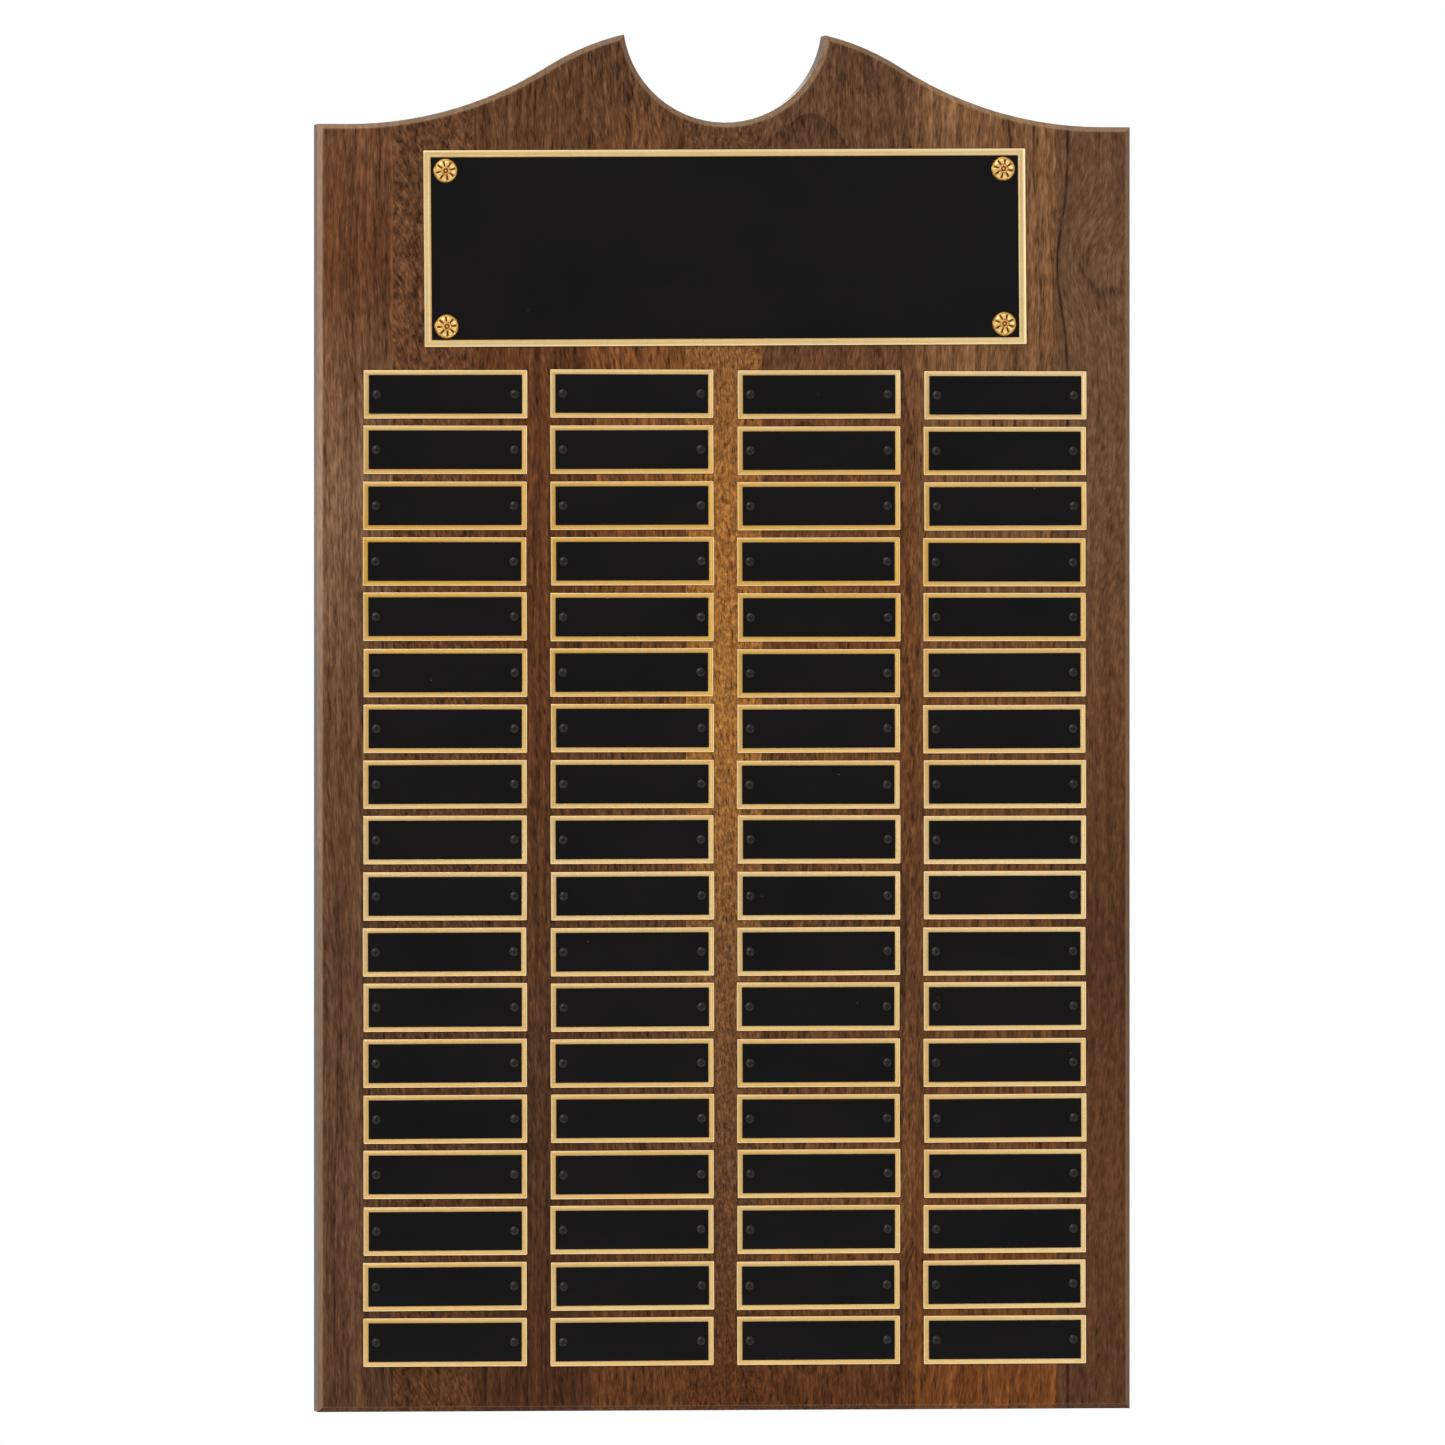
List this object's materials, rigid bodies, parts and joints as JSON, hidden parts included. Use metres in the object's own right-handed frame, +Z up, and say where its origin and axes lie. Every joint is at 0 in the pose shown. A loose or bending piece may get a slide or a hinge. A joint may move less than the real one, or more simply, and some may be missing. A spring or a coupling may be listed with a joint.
{
  "type": "wooden plaque",
  "caption": "Wall-hung walnut perpetual award plaque with a scooped crest, a blank black and brass header plate and rows of small blank name plates.",
  "frame": {"origin": "on the back face, at the middle of the plaque's width and height", "axes": "+Z up the plaque as it hangs; +Y out of the back face, into the wall; the front faces -Y"},
  "size_m": [0.3778, 0.0221, 0.635],
  "materials": {
    "walnut_1": "satin lacquer, medium brown",
    "walnut_2": "satin lacquer, dark speckled brown",
    "walnut_3": "satin lacquer, medium dark brown, striped",
    "walnut_4": "satin lacquer, dark brown",
    "walnut_5": "satin lacquer, light honey brown",
    "walnut_6": "satin lacquer, dark brown, cathedral grain",
    "walnut_7": "satin lacquer, mid brown, striped",
    "walnut_8": "satin lacquer, reddish brown with a knot",
    "brass": "satin",
    "brass_rosette": "polished, stamped",
    "black_lacquer": "smooth satin-gloss lacquer",
    "black_screw": "black oxide",
    "zinc_steel": "bright zinc plate"
  },
  "bodies": {
    "root": {"walnut_stave_1": "walnut_1", "walnut_stave_2": "walnut_2", "walnut_stave_3": "walnut_3", "walnut_stave_4": "walnut_4", "walnut_stave_5": "walnut_5", "walnut_stave_6": "walnut_6", "walnut_stave_7": "walnut_7", "walnut_stave_8": "walnut_8", "header_plate": "brass", "header_black_field": "black_lacquer", "rosette_tack_top_left": "brass_rosette", "rosette_tack_top_right": "brass_rosette", "rosette_tack_bottom_left": "brass_rosette", "rosette_tack_bottom_right": "brass_rosette", "name_plates_row_01": "brass", "name_plates_row_02": "brass", "name_plates_row_03": "brass", "name_plates_row_04": "brass", "name_plates_row_05": "brass", "name_plates_row_06": "brass", "name_plates_row_07": "brass", "name_plates_row_08": "brass", "name_plates_row_09": "brass", "name_plates_row_10": "brass", "name_plates_row_11": "brass", "name_plates_row_12": "brass", "name_plates_row_13": "brass", "name_plates_row_14": "brass", "name_plates_row_15": "brass", "name_plates_row_16": "brass", "name_plates_row_17": "brass", "name_plates_row_18": "brass", "black_fields_row_01": "black_lacquer", "black_fields_row_02": "black_lacquer", "black_fields_row_03": "black_lacquer", "black_fields_row_04": "black_lacquer", "black_fields_row_05": "black_lacquer", "black_fields_row_06": "black_lacquer", "black_fields_row_07": "black_lacquer", "black_fields_row_08": "black_lacquer", "black_fields_row_09": "black_lacquer", "black_fields_row_10": "black_lacquer", "black_fields_row_11": "black_lacquer", "black_fields_row_12": "black_lacquer", "black_fields_row_13": "black_lacquer", "black_fields_row_14": "black_lacquer", "black_fields_row_15": "black_lacquer", "black_fields_row_16": "black_lacquer", "black_fields_row_17": "black_lacquer", "black_fields_row_18": "black_lacquer", "plate_screws_column_1": "black_screw", "plate_screws_column_2": "black_screw", "plate_screws_column_3": "black_screw", "plate_screws_column_4": "black_screw", "keyhole_hanger_left": "zinc_steel", "hanger_screws_left": "zinc_steel", "keyhole_hanger_right": "zinc_steel", "hanger_screws_right": "zinc_steel"}
  },
  "joints": []
}
